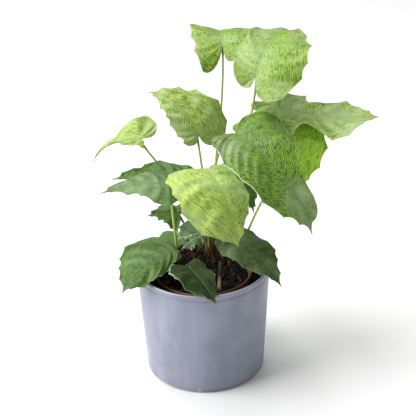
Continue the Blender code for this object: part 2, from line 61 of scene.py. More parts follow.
# The cachepot: one thrown and fired piece, with a rounded lip, a shallow groove under it and a
# narrow line turned round its foot. It was dipped in a grey-blue satin glaze that breaks paler
# over the lip and left a pit and a few runs. Its colour also holds painted light: a painted
# highlight along the lip, and painted shade in the groove, round the foot and down its inside.
pot_height = 122 * MM
pot_top_radius = 70 * MM
pot_foot_radius = 62.5 * MM
pot_wall = 4.5 * MM
pot_floor = 6 * MM
lip_thickness = 3.2 * MM
groove_height = 116 * MM
groove_depth = 0.8 * MM
foot_round = 4 * MM


def pot_radius_at(height):
    return pot_foot_radius + (pot_top_radius - pot_foot_radius) * height / pot_height


def arc(centre, radius, start, end, steps):
    """Points of (radius, height) on an arc from one angle to another, in degrees."""
    angles = np.radians(np.linspace(start, end, steps + 1))
    return [(centre[0] + radius * math.cos(a), centre[1] + radius * math.sin(a)) for a in angles]


def start_disc(name, sides, radius, place):
    """A new filled disc with all of it selected, ready to be shaped."""
    bpy.ops.object.select_all(action="DESELECT")
    bpy.ops.mesh.primitive_circle_add(vertices=sides, radius=radius, fill_type="NGON", location=place)
    disc = bpy.context.object
    disc.name = name
    disc.data.name = name
    bpy.ops.object.mode_set(mode="EDIT")
    bpy.ops.mesh.select_all(action="SELECT")
    return disc


def extrude(move):
    bpy.ops.mesh.extrude_region_move(TRANSFORM_OT_translate={"value": move})


def end_shape(sharp_angle):
    """Turns a shape's faces outwards, puts its place into its mesh and smooths its soft edges."""
    bpy.ops.mesh.select_all(action="SELECT")
    bpy.ops.mesh.normals_make_consistent(inside=False)
    bpy.ops.object.mode_set(mode="OBJECT")
    bpy.ops.object.transform_apply(location=True, rotation=True, scale=True)
    bpy.ops.object.shade_smooth_by_angle(angle=math.radians(sharp_angle))


def turn_on_wheel(name, profile, sides):
    """Raises a round pot from its foot: a disc, then a ring for each (radius, height)."""
    radius, height = profile[0]
    pot = start_disc(name, sides, radius, (0, 0, height))
    for (radius_before, height_before), (radius, height) in zip(profile, profile[1:]):
        widen = radius / radius_before
        extrude((0, 0, height - height_before))
        bpy.ops.transform.resize(value=(widen, widen, 1), center_override=(0, 0, height))
    bpy.ops.mesh.poke()
    end_shape(38)
    return pot


class Amount:
    """A number, place or colour that changes over a surface, worked out by its finish's nodes."""

    def __init__(self, socket):
        self.socket = socket
        self.tree = socket.id_data

    def work_out(self, operation, other=0.0):
        return add_node(self.tree, "Math", 0, {0: self, 1: other}, operation=operation)

    def __add__(self, other):
        return self.work_out("ADD", other)

    def __sub__(self, other):
        return self.work_out("SUBTRACT", other)

    def __mul__(self, other):
        return self.work_out("MULTIPLY", other)

    def __truediv__(self, other):
        return self.work_out("DIVIDE", other)

    def fade(self, low, high, at_low=0.0, at_high=1.0):
        """Goes smoothly from one value to another while this amount goes from low to high."""
        inputs = {"Value": self, "From Min": low, "From Max": high, "To Min": at_low, "To Max": at_high}
        return add_node(self.tree, "MapRange", "Result", inputs, interpolation_type="SMOOTHSTEP")


def join_up(value, socket):
    """Feeds a socket from an amount, or sets it to a number, a place or a colour."""
    if isinstance(value, Amount):
        value.tree.links.new(value.socket, socket)
    else:
        socket.default_value = (*value, 1) if socket.type == "RGBA" else value


def add_node(tree, kind, output, inputs, **settings):
    """Adds a node with its settings and inputs, and gives one of its outputs as an amount."""
    node = tree.nodes.new("ShaderNode" + kind)
    for name, value in settings.items():
        setattr(node, name, value)
    for name, value in inputs.items():
        join_up(value, node.inputs[name])
    return Amount(node.outputs[output])


def new_finish(name, settings):
    """A new material with its shader's settings, and the piece's own coordinates in metres."""
    finish = bpy.data.materials.new(name)
    finish.use_nodes = True
    for socket, value in settings.items():
        join_up(value, finish.node_tree.nodes["Principled BSDF"].inputs[socket])
    return finish, add_node(finish.node_tree, "TexCoord", "Object", {})


def stretched(here, stretch):
    """Coordinates for a pattern that runs one way."""
    return add_node(here.tree, "Mapping", "Vector", {"Vector": here, "Scale": stretch})


def split(place):
    return [add_node(place.tree, "SeparateXYZ", axis, {0: place}) for axis in "XYZ"]


def cloudy(where, scale, detail=3.0, roughness=0.5):
    return add_node(where.tree, "TexNoise", "Fac",
                    {"Vector": where, "Scale": scale, "Detail": detail, "Roughness": roughness})


def spot(here, centre, reach, soft):
    """1 inside a round spot on the surface, falling to 0 outside it. All its sizes are in mm."""
    ends = {0: here, 1: Vector(centre) * MM}
    away = add_node(here.tree, "VectorMath", "Value", ends, operation="DISTANCE")
    return away.fade(reach * MM, (reach + soft) * MM, 1.0, 0.0)


def lay_colours(colour, *coats):
    """Lays colours over the first one, each as thickly as its own amount says."""
    share_input, first_input, second_input, mixed_output = 0, 6, 7, 2
    for share, over in coats:
        mixed = {share_input: share, first_input: colour, second_input: over}
        colour = add_node(share.tree, "Mix", mixed_output, mixed, data_type="RGBA")
    return colour


def dress(finish, colour, rough, relief, depth, strength=1.0):
    """Gives a finish its colour, its roughness and the relief of its surface."""
    inputs = {"Height": relief, "Distance": depth, "Strength": strength}
    raised = add_node(relief.tree, "Bump", "Normal", inputs)
    for name, value in (("Base Color", colour), ("Roughness", rough), ("Normal", raised)):
        join_up(value, finish.node_tree.nodes["Principled BSDF"].inputs[name])
    return finish


def grey_blue_glaze():
    finish, here = new_finish(
        "grey_blue_glaze", {"Roughness": 0.4, "Coat Weight": 0.15, "Coat Roughness": 0.25})
    x, y, height = split(here)
    runs = cloudy(stretched(here, (1, 1, 0.12)), 55, 4)
    clouds = cloudy(here, 14)
    blots = cloudy(stretched(here, (1, 1, 0.7)), 38, 5, 0.6)
    grain = cloudy(here, 900, 2)
    from_groove = (height - groove_height).work_out("ABSOLUTE")
    wall_there = height * ((pot_top_radius - pot_foot_radius) / pot_height) + pot_foot_radius
    in_wall = wall_there - (x * x + y * y).work_out("SQRT")
    # Painted shade: the inner wall below the lip is darkened almost to black, where the pot shades its own
    # inside.
    inside = (in_wall.fade(0.5 * pot_wall, 0.8 * pot_wall)
              * height.fade(pot_height - 6 * MM, pot_height - 2.5 * MM, 0.9, 0.0))
    pit = spot(here, (-36, -53, 25), 2.4, 1.4)
    crumbs = spot(here, (-8, -62.8, 4), 1.8, 2.0) * grain.fade(0.5, 0.6)
    # Paler over the lip: partly the glaze breaking thin there, partly a painted highlight along it.
    lip_break_and_highlight = height.fade(pot_height - 1.3 * MM, pot_height - 0.2 * MM, 0.0, 0.55)
    colour = lay_colours(
        (0.215, 0.23, 0.305),
        (runs.fade(0.35, 0.68), (0.265, 0.28, 0.36)),
        (clouds.fade(0.4, 0.66, 0.0, 0.6), (0.165, 0.19, 0.25)),
        (blots.fade(0.46, 0.7, 0.0, 0.45), (0.15, 0.172, 0.215)),
        (grain.fade(0.45, 0.75, 0.0, 0.35), (0.27, 0.285, 0.355)),
        (lip_break_and_highlight, (0.5, 0.52, 0.6)),
        # Painted shade: darker in the groove under the lip.
        (from_groove.fade(0.2 * MM, 1.5 * MM, 0.5, 0.0), (0.17, 0.18, 0.24)),
        # Painted shade: darker towards the foot, within about 5 mm of the bottom.
        (height.fade(1.0 * MM, 5.2 * MM, 0.6, 0.0), (0.15, 0.16, 0.21)),
        # Painted shade inside the pot.
        (inside, (0.03, 0.03, 0.036)),
        (pit, (0.27, 0.23, 0.215)),
        (crumbs, (0.62, 0.56, 0.5)))
    rough = clouds.fade(0.3, 0.7, 0.34, 0.44) + grain.fade(0.4, 0.8, 0.0, 0.08)
    return dress(finish, colour, rough, runs * 0.6 + grain * 0.12 - pit * 0.9, 0.35 * MM, 0.8)


foot = pot_radius_at(0)
lip = lip_thickness / 2
pot_profile = [(foot * 0.5, 0), (foot * 0.85, 0)]
pot_profile += arc((foot - foot_round, foot_round), foot_round, -90, -18, 8)
# Heights and steps out from the plain cone, in mm: the line at the foot, then the uneven wall.
wall_steps = [(3.6, -0.05), (4.0, -0.45), (4.5, -0.45), (5.1, 0), (9, 0), (35, 0.1), (61, 0), (90, -0.1)]
pot_profile += [(pot_radius_at(height * MM) + out * MM, height * MM) for height, out in wall_steps]
groove_steps = [(-2.2, 0.125), (-1.2, 0.4375), (-0.4, 1), (0.4, 1), (1.4, 0.25)]
pot_profile += [(pot_radius_at(groove_height) - share * groove_depth, groove_height + rise * MM)
                for rise, share in groove_steps]
pot_profile += arc((pot_top_radius - lip, pot_height - lip), lip, 5, 175, 12)
pot_profile += [(pot_top_radius - pot_wall + 0.6 * MM, pot_height - 4 * MM),
                (pot_radius_at(pot_height - 9 * MM) - pot_wall, pot_height - 9 * MM),
                (pot_radius_at(60 * MM) - pot_wall, 60 * MM),
                (foot - pot_wall + 0.6 * MM, pot_floor + 5 * MM),
                (foot - pot_wall - 0.8 * MM, pot_floor + 1.2 * MM),
                (foot - pot_wall - 4 * MM, pot_floor),
                (foot * 0.5, pot_floor)]
cachepot = turn_on_wheel("glazed_cachepot", pot_profile, 144)
cachepot.data.materials.append(grey_blue_glaze())
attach(cachepot, "root")
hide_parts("cachepot")


# The nursery pot: a thin moulded pot of dull reddish plastic that stands loose on the cachepot's
# floor, with a wider collar under its rim and drain holes through its bottom.
fit_gap = 0.3 * MM
inner_top_radius = 51 * MM
inner_foot_radius = 38 * MM
inner_top = 113 * MM
inner_wall = 1.1 * MM
inner_bottom = pot_floor + fit_gap
inner_floor = inner_bottom + 1.5 * MM
collar = 3 * MM
collar_height = inner_top - 7 * MM
drain_radius = 4 * MM
drain_circle = 28 * MM


def terracotta_plastic():
    finish, here = new_finish("terracotta_plastic", {"Roughness": 0.5})
    dust = cloudy(here, 60, 5, 0.65)
    scuffs = cloudy(stretched(here, (1, 1, 5)), 160)
    colour = lay_colours(
        (0.27, 0.095, 0.068),
        (scuffs.fade(0.4, 0.7), (0.36, 0.15, 0.11)),
        (dust.fade(0.5, 0.72, 0.0, 0.55), (0.1, 0.06, 0.045)))
    return dress(finish, colour, dust.fade(0.35, 0.7, 0.42, 0.72), scuffs, 0.12 * MM)


rim = inner_top_radius
base = inner_foot_radius
inner_profile = [(base * 0.4, inner_bottom),
                 (base - 0.6 * MM, inner_bottom),
                 (base, inner_bottom + 0.5 * MM),
                 (rim - collar, collar_height),
                 (rim - 1.3 * MM, collar_height + 0.1 * MM),
                 (rim - 0.8 * MM, collar_height + 0.6 * MM),
                 (rim - 0.1 * MM, inner_top - 1.2 * MM)]
inner_profile += arc((rim - 0.8 * MM, inner_top - 0.8 * MM), 0.8 * MM, 10, 170, 6)
inner_profile += [(rim - 1.7 * MM, inner_top - 1.6 * MM),
                  (rim - 2.2 * MM, collar_height + 1.4 * MM),
                  (rim - collar - inner_wall, collar_height + 0.4 * MM),
                  (base - inner_wall, inner_floor),
                  (base * 0.4, inner_floor)]
nursery_pot = turn_on_wheel("plastic_nursery_pot", inner_profile, 112)
for quarter in range(4):
    turn = 2 * math.pi * (quarter + 0.5) / 4
    place = (drain_circle * math.cos(turn), drain_circle * math.sin(turn), inner_bottom)
    bpy.ops.mesh.primitive_cylinder_add(vertices=20, radius=drain_radius, depth=6 * MM, location=place)
    punch = bpy.context.object
    cut = nursery_pot.modifiers.new("drain", "BOOLEAN")
    cut.operation = "DIFFERENCE"
    cut.object = punch
    bpy.context.view_layer.objects.active = nursery_pot
    bpy.ops.object.modifier_apply(modifier="drain")
    bpy.data.objects.remove(punch, do_unlink=True)
nursery_pot.data.materials.append(terracotta_plastic())
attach(nursery_pot, "root")
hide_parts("nursery_pot")


# The soil: a root ball of near-black peat that fills the nursery pot and rises a little round the
# stalks. Its top is loose crumbs, with reddish bits of bark and fibre among them.
soil_edge = 107 * MM
soil_mound = 5 * MM
soil_lump = 1.4 * MM
clump_centre = (10 * MM, 27 * MM)
mound_reach = 26 * MM
hole_depth = 9 * MM
any_turn = 6.28


def soil_height(x, y):
    """The soil's top: a low mound round the stalks, with crossing waves of lumps all over."""
    away = math.hypot(x - clump_centre[0], y - clump_centre[1])
    mound = soil_mound * math.exp(-(away / mound_reach) ** 2)
    lumps = math.sin(310 * x + 1.3) * math.cos(270 * y - 0.6) + 0.6 * math.sin(520 * (x + y) + 2.1)
    return soil_edge + mound + soil_lump * lumps / 1.6


def soil_wall_radius(height):
    low = inner_foot_radius - inner_wall
    high = inner_top_radius - collar - inner_wall
    share = (height - inner_floor) / (collar_height + 0.4 * MM - inner_floor)
    return low + (high - low) * share - fit_gap


def damp_peat():
    finish, here = new_finish("peat", {"Roughness": 0.95})
    grain = cloudy(here, 520, 6, 0.7)
    patches = cloudy(here, 90, 4, 0.6)
    colour = lay_colours(
        (0.003, 0.0025, 0.002),
        (grain.fade(0.38, 0.7), (0.012, 0.007, 0.005)),
        (patches.fade(0.52, 0.7, 0.0, 0.7), (0.022, 0.01, 0.007)))
    return dress(finish, colour, grain.fade(0.3, 0.7, 0.98, 0.8), grain, 1.2 * MM)


soil_profile = [(soil_wall_radius(inner_floor) * 0.4, inner_floor + fit_gap),
                (soil_wall_radius(inner_floor), inner_floor + fit_gap),
                (soil_wall_radius(60 * MM), 60 * MM),
                (soil_wall_radius(soil_edge - 2 * MM), soil_edge - 2 * MM)]
soil_rings = 44
top_radius = soil_wall_radius(soil_edge - soil_lump)
soil_profile += [(top_radius * (1 - ring / soil_rings), soil_edge) for ring in range(soil_rings)]
soil = turn_on_wheel("peat_root_ball", soil_profile, 128)
grain = bpy.data.textures.new("soil_grain", "CLOUDS")
grain.noise_scale = 3.2 * MM
grain.noise_depth = 3
loose = soil.vertex_groups.new(name="loose_top")
for vertex in soil.data.vertices:
    x, y, z = vertex.co
    if z > soil_edge - 1 * MM:
        rim_share = min(1, (top_radius - math.hypot(x, y)) / (3 * MM))
        vertex.co.z = soil_height(x, y) - soil_lump * (1 - rim_share)
        loose.add([vertex.index], 0.3 + 0.7 * rim_share, "REPLACE")
crumble = soil.modifiers.new("crumble", "DISPLACE")
crumble.texture = grain
crumble.texture_coords = "LOCAL"
crumble.direction = "Z"
crumble.strength = 4.5 * MM
crumble.vertex_group = "loose_top"
bpy.context.view_layer.objects.active = soil
bpy.ops.object.modifier_apply(modifier="crumble")
peat = damp_peat()
soil.data.materials.append(peat)
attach(soil, "root")
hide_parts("soil")


def bark():
    finish, here = new_finish("bark", {"Roughness": 0.85})
    pieces = cloudy(here, 170, 2)
    fibres = cloudy(here, 900, 4, 0.7)
    colour = lay_colours(
        (0.014, 0.008, 0.006),
        (pieces.fade(0.4, 0.62), (0.1, 0.034, 0.021)),
        (fibres.fade(0.45, 0.7, 0.0, 0.7), (0.2, 0.1, 0.06)))
    return dress(finish, colour, fibres.fade(0.3, 0.7, 0.75, 0.95), fibres, 0.3 * MM)


def select_only(piece, is_wanted):
    """Selects the vertices whose places pass a test, and leaves them open for shaping."""
    bpy.ops.mesh.select_all(action="DESELECT")
    bpy.ops.object.mode_set(mode="OBJECT")
    for vertex in piece.data.vertices:
        vertex.select = is_wanted(vertex.co)
    bpy.ops.object.mode_set(mode="EDIT")


def join_pieces(pieces):
    """Puts new objects into the scene and joins them into the first."""
    bpy.ops.object.select_all(action="DESELECT")
    for piece in pieces:
        bpy.context.scene.collection.objects.link(piece)
        piece.select_set(True)
    bpy.context.view_layer.objects.active = pieces[0]
    bpy.ops.object.join()


def scatter(name, model, places, finish):
    """Lays copies of one modelled bit at the given places as one piece, and removes the model."""
    copies = []
    for matrix in places:
        copies.append(bpy.data.objects.new(name, model.data.copy()))
        copies[-1].data.transform(matrix)
    bpy.data.objects.remove(model, do_unlink=True)
    join_pieces(copies)
    copies[0].data.name = name
    copies[0].data.materials.append(finish)
    return copies[0]


def stand_on_soil(x, y, lift, turns, sizes):
    """A bit's place on the soil at x, y, with its turns and its sizes in three directions."""
    return Matrix.LocRotScale(Vector((x, y, soil_height(x, y) + lift)), Euler(turns), Vector(sizes))


def lie_on_soil(rng, count, low, high, flat):
    """Random places on the soil's top: turned any way, and of sizes between low and high."""
    places = []
    while len(places) < count:
        radius = (inner_top_radius - 6 * MM) * math.sqrt(rng.uniform(0, 1))
        turn = rng.uniform(0, 2 * math.pi)
        size = rng.uniform(low, high)
        turns = [rng.uniform(-flat, flat), rng.uniform(-flat, flat), rng.uniform(0, any_turn)]
        places.append(stand_on_soil(radius * math.cos(turn), radius * math.sin(turn), 0.25 * size,
                                    turns, (size, size, size)))
    return places


bpy.ops.object.select_all(action="DESELECT")
bpy.ops.mesh.primitive_ico_sphere_add(subdivisions=2, radius=0.5)
crumb = bpy.context.object
bpy.ops.object.mode_set(mode="EDIT")
bpy.ops.transform.vertex_random(offset=0.16, uniform=1.0, seed=4)
bpy.ops.transform.resize(value=(1.0, 0.8, 0.7))
bpy.ops.object.mode_set(mode="OBJECT")
crumb_places = lie_on_soil(np.random.default_rng(5), 420, 1.4 * MM, 4.2 * MM, 3)
crumbs = scatter("soil_crumbs", crumb, crumb_places, peat)
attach(crumbs, "root")

bpy.ops.object.select_all(action="DESELECT")
bpy.ops.mesh.primitive_cube_add(size=1)
chip = bpy.context.object
bpy.ops.object.mode_set(mode="EDIT")
bpy.ops.transform.resize(value=(1.5, 0.5, 0.16))
bpy.ops.mesh.subdivide(number_cuts=2)
bpy.ops.transform.vertex_random(offset=0.07, uniform=1.0, seed=9)
select_only(chip, lambda place: abs(place.x) > 0.6)
bpy.ops.transform.resize(value=(1, 0.55, 0.7))
bpy.ops.object.mode_set(mode="OBJECT")
chip_places = lie_on_soil(np.random.default_rng(8), 130, 2.2 * MM, 5.5 * MM, 0.5)
chips = scatter("bark_chips", chip, chip_places, bark())
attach(chips, "root")


# The withered stem: the hollow stump of an old petiole, tan and fibrous, standing near the front
# rim and leaning back over the soil.
dry_foot = (16 * MM, -31 * MM)
dry_radius = 1.9 * MM


def bezier(p0, p1, p2, p3, steps):
    f = np.linspace(0.0, 1.0, steps + 1)[:, None]
    p0, p1, p2, p3 = (np.asarray(p, float) for p in (p0, p1, p2, p3))
    return (1 - f) ** 3 * p0 + 3 * f * (1 - f) ** 2 * p1 + 3 * f ** 2 * (1 - f) * p2 + f ** 3 * p3


def dry_straw():
    finish, here = new_finish("dry_stem", {"Roughness": 0.8})
    fibres = cloudy(stretched(here, (1, 1, 0.08)), 2200, 3, 0.6)
    stains = cloudy(here, 130)
    colour = lay_colours(
        (0.55, 0.36, 0.24),
        (fibres.fade(0.35, 0.7), (1.0, 0.78, 0.58)),
        # Painted shade: near-black above about 117 mm, where the leaves over the stem shade it.
        (split(here)[2].fade(117 * MM, 123 * MM, 0.0, 0.95), (0.022, 0.011, 0.008)),
        (stains.fade(0.5, 0.7, 0.0, 0.5), (0.12, 0.055, 0.03)))
    return dress(finish, colour, fibres.fade(0.3, 0.7, 0.88, 0.65), fibres, 0.25 * MM)


dry_start = np.array([*dry_foot, soil_height(*dry_foot) - hole_depth + fit_gap])
dry_rise = dry_start + np.array([0, 0, hole_depth + 2 * MM])
dry_line = bezier(dry_rise, dry_rise + np.array([0, 1, 10]) * MM, dry_rise + np.array([1, 6, 17]) * MM,
                  dry_rise + np.array([2, 14, 22]) * MM, 12)
dry_line = [Vector(point) for point in np.vstack([dry_start, dry_line])]
dry_stem = start_disc("withered_stem", 16, dry_radius, dry_line[0])
leaned = 0.0
for step in range(1, len(dry_line)):
    here = dry_line[step]
    ahead = dry_line[min(step + 1, len(dry_line) - 1)] - dry_line[step - 1]
    lean = math.atan2(ahead.y, ahead.z)
    extrude(here - dry_line[step - 1])
    bpy.ops.transform.rotate(value=lean - leaned, orient_axis="X", center_override=here)
    bpy.ops.transform.resize(value=(0.975, 0.975, 0.975), center_override=here)
    leaned = lean
bpy.ops.mesh.inset(thickness=0.45 * MM)
extrude((0, -1.2 * MM, -2 * MM))
end_shape(50)
dry_stem.data.materials.append(dry_straw())
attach(dry_stem, "root")
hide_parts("dry_stem")


# The leaves: each grew as one piece, a thin soft blade with two lobes at its base, a midrib under
# it, and a slender petiole that swells into a darker joint where it meets the blade. Side veins
# sweep out to the margin's teeth, and between them short bright bars cross a darker green.
blade_thickness = 0.7 * MM
petiole_foot_radius = 1.5 * MM
petiole_top_radius = 1.0 * MM
joint_radius = 1.35 * MM
joint_length = 13 * MM
rib_radius = 0.9 * MM
notch_gap = 1.4 * MM
fan_share = 0.3
first_tooth = 0.2
last_tooth = 0.96
vein_sweep = 1.7
vein_gap = 3.8 * MM
bar_gap = 1.85
margin_share = 1.35
right_half_start = 99
underside_start = 300
pleat_depth = 0.6 * MM
rib_step = 0.7 * MM
margin_waves = 3
full_length = 80 * MM
# Where a blade gets a painted sheen, a painted highlight in place of the lamps' gloss, and where its
# margin curls over and shows pale: places, reach and soft edge in mm, and how strong the painted
# sheen is.
painted_sheen_spots = [((96, -82, 227), 8, 28, 0.5), ((24, -54, 280), 8, 24, 0.5), ((51, 49, 339), 6, 24, 0.4),
          ((67, 76, 348), 4, 20, 0.45), ((-62, -16, 222), 10, 34, 0.3), ((-28, -4, 141), 6, 20, 0.2),
          ((144, 36, 266), 6, 30, 0.4)]
pale_margins = [((26, -78, 273), 10, 8), ((44, -100, 261), 18, 8), ((-32, -42, 137), 16, 8),
                ((98, 0, 268), 14, 8), ((-22, -20, 162), 9, 8)]


def half(width, fold=8, curl=-25, lobe=1.0, broadest=0.2, fullness=0.5, square=0.0, teeth=6, bays=None):
    """One half of a blade: its width in mm, its rise at the midrib and curl to the margin in degrees,

    its lobe's length as a share of the leaf's, where it is broadest, how full it stays towards the
    tip, how square its lobe is, its teeth, as a count or as places from 0 at the notch to 1 at the
    tip, and the bays' depths.
    """
    return SimpleNamespace(
        width=width * MM, fold=math.radians(fold), curl=math.radians(curl), lobe=lobe,
        broadest=broadest, fullness=fullness, square=square, teeth=teeth, bays=bays)


def leaf(name, base, heading, pitch, arch, length, lobe, left, right, foot, **more):
    """One leaf: where its blade starts in mm, how its midrib runs in degrees, and its two halves.

    Heading is 0 to the right, 90 to the back and -90 to the front. Left and right are the leaf's
    own, looking from base to tip with the upper side up.
    """
    usual = dict(roll=0, twist=0, arch_power=1.0, lobe_droop=30, scallop=2.6, wave=2.0, join=0.5,
                 lean=(0.0, 0.0), tone="dim", stalk="olive")
    return SimpleNamespace(
        name=name, base=np.array(base) * MM, heading=heading, pitch=pitch, arch=arch,
        length=length * MM, lobe=lobe * MM, halves=(left, right), foot=(foot[0] * MM, foot[1] * MM),
        seed=sum(map(ord, name)), **{**usual, **more})


def run_along(points):
    """The way along a line of points, from 0 at its first."""
    return np.concatenate([[0], np.cumsum(np.linalg.norm(np.diff(points, axis=0), axis=1))])


def read_off(x, stations, rows):
    """The rows' values at x, between the stations where they are known."""
    return np.stack([np.interp(x, stations, rows[:, k]) for k in range(rows.shape[1])], -1)


def half_outline(plan, side):
    """The flat margin of one half, from the notch at the base round the lobe to the tip."""
    length = plan.length
    width = side.width
    lobe = plan.lobe * side.lobe
    broad = side.broadest * length
    full = side.fullness
    square = side.square
    notch = (-1.2 * MM, notch_gap)
    back = (-lobe, (0.42 - 0.2 * square) * width)
    flank = (broad, width)
    round_lobe = bezier(notch, (-(0.6 + 0.3 * square) * lobe, 0.04 * width),
                        (-lobe, (0.16 - 0.1 * square) * width), back, 20)
    round_side = bezier(back, (-lobe, 0.8 * width), (0.45 * broad - (0.55 + 0.3 * square) * lobe, width),
                        flank, 24)
    run = length - broad
    to_tip = bezier(flank, (broad + full * run, width), (length - 0.26 * run, 0.55 * full * width),
                    (length, 0.0), 36)
    return np.vstack([round_lobe, round_side[1:], to_tip[1:]])


def tooth_places(plan, side):
    """Where along the margin the teeth of one half stand, and how deep each bay between them is."""
    rng = np.random.default_rng(plan.seed + round(side.width / MM * 10))
    if isinstance(side.teeth, int):
        count = side.teeth
        spacing = (last_tooth - first_tooth) / count
        places = first_tooth + spacing * (np.arange(count) + 0.5 + rng.uniform(-0.2, 0.2, count))
    else:
        places = np.array(side.teeth)
    bays = rng.uniform(0.6, 1.25, len(places) + 1)
    return places, bays if side.bays is None else np.array(side.bays)


def margin_rows(plan, side, fine):
    """Places along the margin of the rows that run out from the midrib like side veins."""
    teeth = tooth_places(plan, side)[0]
    lobe_marks = [0.0, 0.05, 0.11, 0.16]
    marks = [*lobe_marks, *teeth, 1.0]
    rows = []
    for a, b in zip(marks, marks[1:]):
        steps = fine if a < lobe_marks[-1] else 2 * fine
        rows += list(np.linspace(a, b, steps + 1)[:-1])
    return np.array(rows + [1.0])


def bay_depth(plan, side, t):
    """How far the margin is cut in between the teeth, at places t along it."""
    teeth, strength = tooth_places(plan, side)
    marks = np.array([0.09, *teeth, 1.0])
    depth = np.zeros_like(t)
    for k in range(len(marks) - 1):
        inside = (t > marks[k]) & (t < marks[k + 1])
        share = (t[inside] - marks[k]) / (marks[k + 1] - marks[k])
        soften = 0.4 if k == 0 else min(1.0, (marks[k + 1] - marks[k]) / 0.1)
        depth[inside] = soften * strength[k] * np.sin(np.pi * share) ** 0.8
    return plan.scallop * MM * depth


def flat_half(plan, side, fine, columns):
    """Grid of one flat half: rows along the margin, columns from the midrib (0) to the margin (1)."""
    outline = half_outline(plan, side)
    run = run_along(outline)
    t = margin_rows(plan, side, fine)
    margin = read_off(t, run / run[-1], outline)
    root_x = plan.length * np.clip((t - fan_share) / (1 - fan_share), 0, 1) ** vein_sweep
    root = np.stack([root_x, np.zeros_like(root_x)], -1)
    reach = margin - root
    size = np.maximum(np.linalg.norm(reach, axis=1), 1e-9)
    cut = np.minimum(bay_depth(plan, side, t), 0.45 * size)
    reach = reach * (1 - cut / size)[:, None]
    s = np.linspace(0, 1, columns + 1)
    bulge = np.stack([-reach[:, 1], reach[:, 0]], -1) * (0.1 * np.minimum(1, t / fan_share))[:, None]
    bow = (4 * s * (1 - s))[None, :, None]
    return t, s, root[:, None] + s[None, :, None] * reach[:, None] + bow * bulge[:, None]


def midrib_frames(plan):
    """Points and axes along the midrib, from behind the lobes to the tip."""
    length = plan.length
    lobe = plan.lobe * max(side.lobe for side in plan.halves)
    x = np.linspace(-1.15 * lobe, length, 90)
    share = np.clip(x / length, 0, 1)
    behind = np.clip(-x / lobe, 0, None)
    sink = plan.arch * share ** plan.arch_power - plan.lobe_droop * behind
    pitch = np.radians(plan.pitch - sink)
    heading = math.radians(plan.heading)
    roll = np.radians(plan.roll + plan.twist * share)
    forward = np.array([math.cos(heading), math.sin(heading), 0.0])
    level = np.array([-forward[1], forward[0], 0.0])
    tangent = np.cos(pitch)[:, None] * forward + np.sin(pitch)[:, None] * np.array([0, 0, 1])
    normal = np.cross(tangent, level)
    across = np.cos(roll)[:, None] * level + np.sin(roll)[:, None] * normal
    up = np.cos(roll)[:, None] * normal - np.sin(roll)[:, None] * level
    step = np.diff(x)[:, None] * (tangent[1:] + tangent[:-1]) / 2
    point = np.vstack([np.zeros(3), np.cumsum(step, axis=0)])
    point = point - read_off(0.0, x, point) + plan.base
    return dict(x=x, point=point, tangent=tangent, across=across, up=up)


def at_station(frames, x, what):
    return read_off(x, frames["x"], frames[what])


def vein_places(plan, t, sign):
    """Counts the side veins along one half's margin. The right half's count has its own start."""
    return round(margin_share * plan.length / vein_gap) * t + (right_half_start if sign < 0 else 0)


def pleats(plan, t, s, sign):
    """Soft folds that run out along the veins, one to every third, with slow swells among them."""
    rng = np.random.default_rng(plan.seed + 7)
    fold = np.sin(2 * np.pi * vein_places(plan, t, sign) / 3) * rng.uniform(0.8, 1.1)
    for count in (3.3, 5.6):
        fold = fold + rng.uniform(0.5, 0.9) * np.sin(2 * np.pi * count * t + rng.uniform(0, 6) + sign)
    depth = pleat_depth * min(1.2, plan.length / full_length)
    return depth * fold[:, None] * np.sin(np.pi * s) ** 0.7


def bend_half(plan, side, sign, frames, t, s, path):
    """Carries one flat half into space: folded at the midrib, curling outwards, waved at the margin."""
    x = path[..., 0]
    across = path[..., 1]
    fold = side.fold
    bend = side.curl / side.width
    out = (np.sin(fold + bend * across) - math.sin(fold)) / bend
    rise = (math.cos(fold) - np.cos(fold + bend * across)) / bend
    swell = np.sin(2 * np.pi * margin_waves * t + 2.4 * sign)
    away = np.clip(2.5 * across / side.width, 0, 1)
    rise = rise + (plan.wave * MM * swell[:, None] * s ** 1.6 + pleats(plan, t, s, sign)) * away
    point = at_station(frames, x, "point")
    across_axis = at_station(frames, x, "across")
    up_axis = at_station(frames, x, "up")
    return point + sign * out[..., None] * across_axis + rise[..., None] * up_axis


def shared_midrib(plan, grids):
    """Moves both halves' rows to common points along the midrib, and returns those points."""
    spine = [0.0]
    for x in sorted(np.concatenate([path[:, 0, 0] for _, _, path in grids])):
        if x - spine[-1] > rib_step and plan.length - x > rib_step:
            spine.append(x)
    spine = np.array([*spine, plan.length])
    for _, _, path in grids:
        nearest = np.abs(path[:, 0, 0][:, None] - spine[None, :]).argmin(axis=1)
        path[:, 0, 0] = spine[nearest]
    return spine


